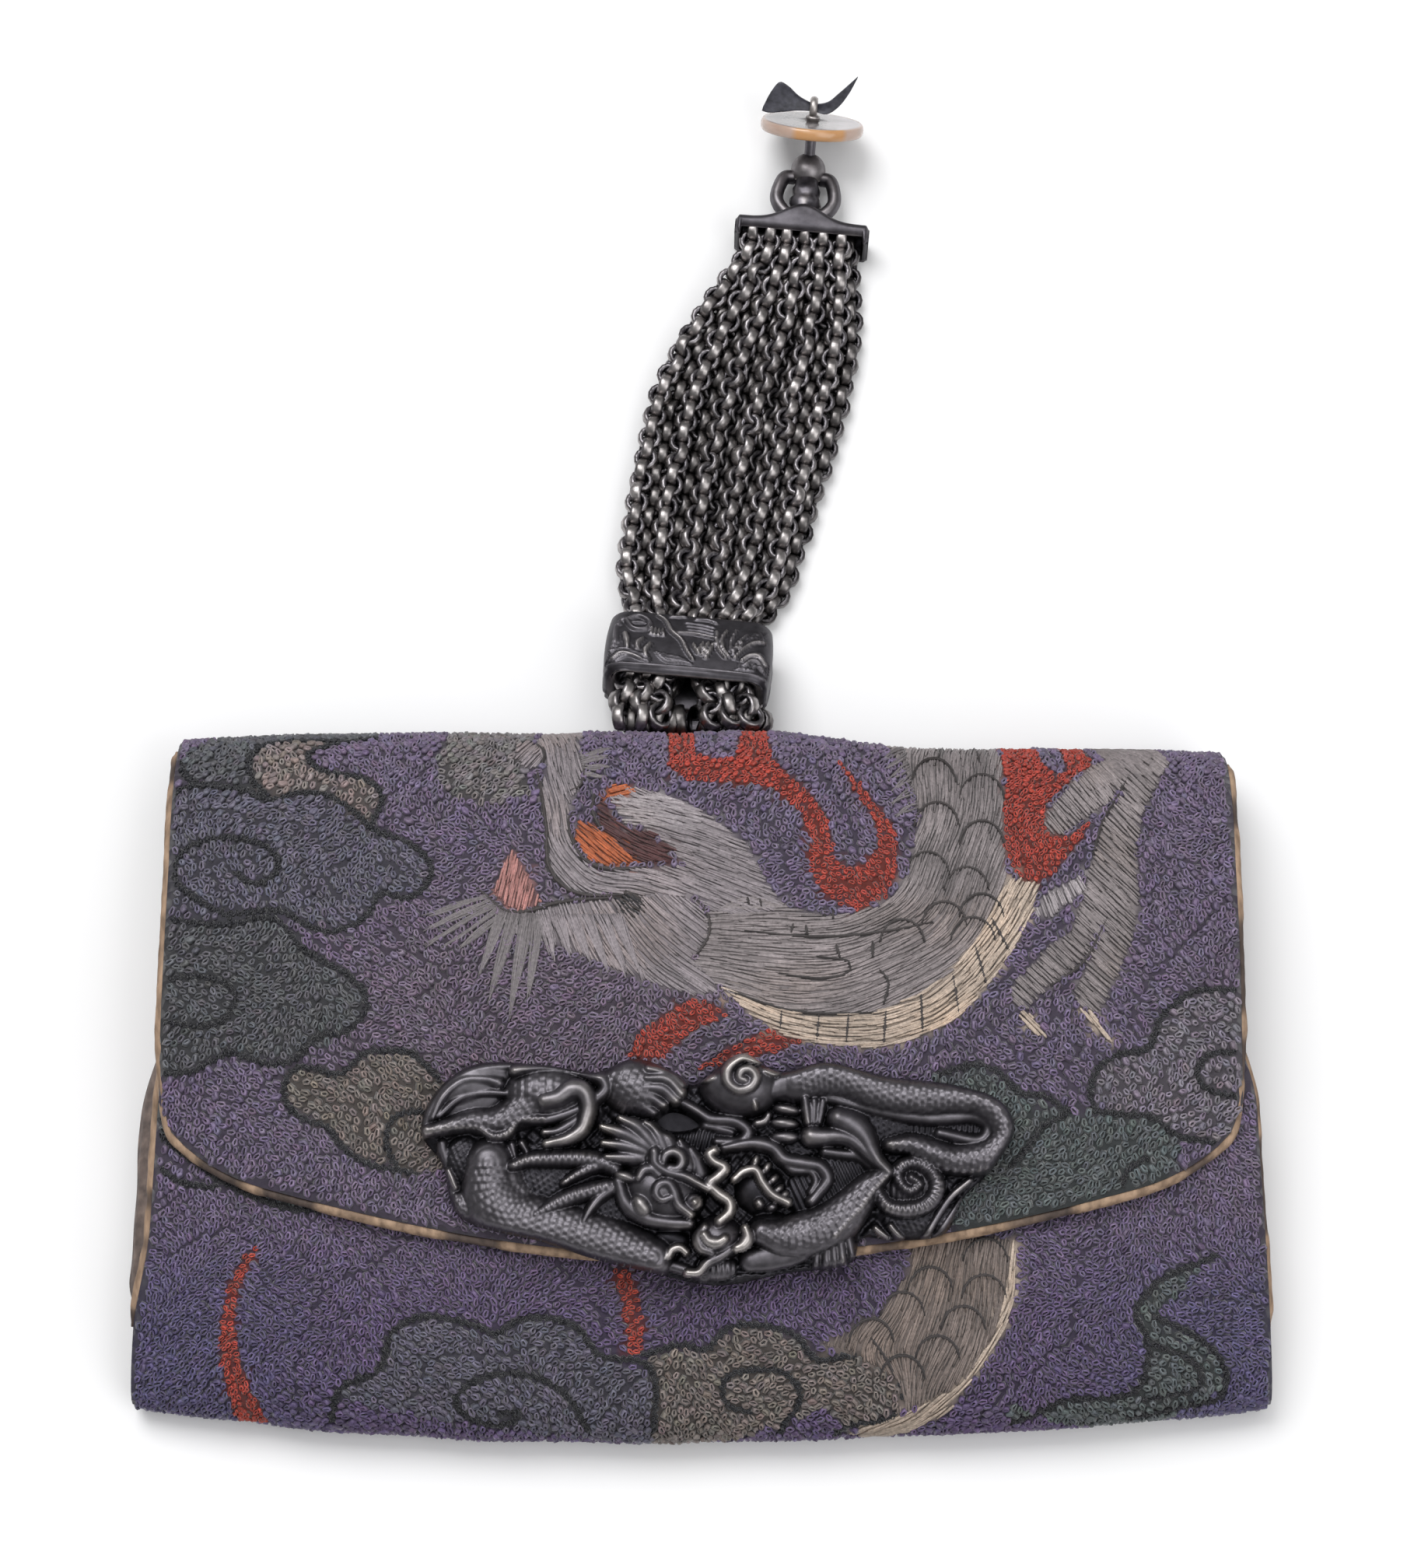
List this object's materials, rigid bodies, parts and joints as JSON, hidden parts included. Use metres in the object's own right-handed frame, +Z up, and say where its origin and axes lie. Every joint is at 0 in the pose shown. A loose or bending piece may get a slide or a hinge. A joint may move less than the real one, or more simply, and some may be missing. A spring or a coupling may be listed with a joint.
{
  "type": "tobacco pouch",
  "caption": "Flat cloth tobacco pouch with a knot-stitched dragon and clouds, cast silver dragon clasp, chain strap with slider, and a disc toggle on a swivel post.",
  "frame": {"origin": "middle of the flat back of the pouch, on the surface that it lies on", "axes": "+Z up out of the front of the pouch, +Y from the bottom fold to the top fold and on to the toggle, +X to the right as the front is seen"},
  "size_m": [0.1298, 0.1623, 0.0242],
  "materials": {
    "embroidered_cloth": "matt knot-stitched silk",
    "gusset_leather": "worn",
    "binding": "worn",
    "dark_silver": "tarnished cast silver, bright on the high spots",
    "chain_silver": "tarnished silver wire",
    "disc_shell": "polished",
    "strip_leather": "smooth"
  },
  "bodies": {
    "pouch": {"cloth_wrap": "embroidered_cloth", "gusset_left": "gusset_leather", "gusset_right": "gusset_leather", "flap_binding": "binding", "front_binding_left": "binding", "front_binding_right": "binding", "front_clasp": "dark_silver", "chain_anchor_left": "dark_silver", "chain_anchor_right": "dark_silver", "chain_strand_01": "chain_silver", "chain_strand_02": "chain_silver", "chain_strand_03": "chain_silver", "chain_strand_04": "chain_silver", "chain_strand_05": "chain_silver", "chain_strand_06": "chain_silver", "chain_strand_07": "chain_silver", "chain_strand_08": "chain_silver", "chain_strand_09": "chain_silver", "chain_strand_10": "chain_silver", "chain_strand_11": "chain_silver", "chain_strand_12": "chain_silver", "chain_slider": "dark_silver", "end_bar": "dark_silver"},
    "toggle": {"swivel_post": "dark_silver", "toggle_disc": "disc_shell", "retaining_strip": "strip_leather"}
  },
  "joints": [
    {"name": "toggle_swivel", "type": "hinge", "parent": "pouch", "child": "toggle", "pos_m": [0.01288, 0.11365, 0.0027], "axis": [0.0785, 0.8154, 0.5736], "continuous": true}
  ]
}
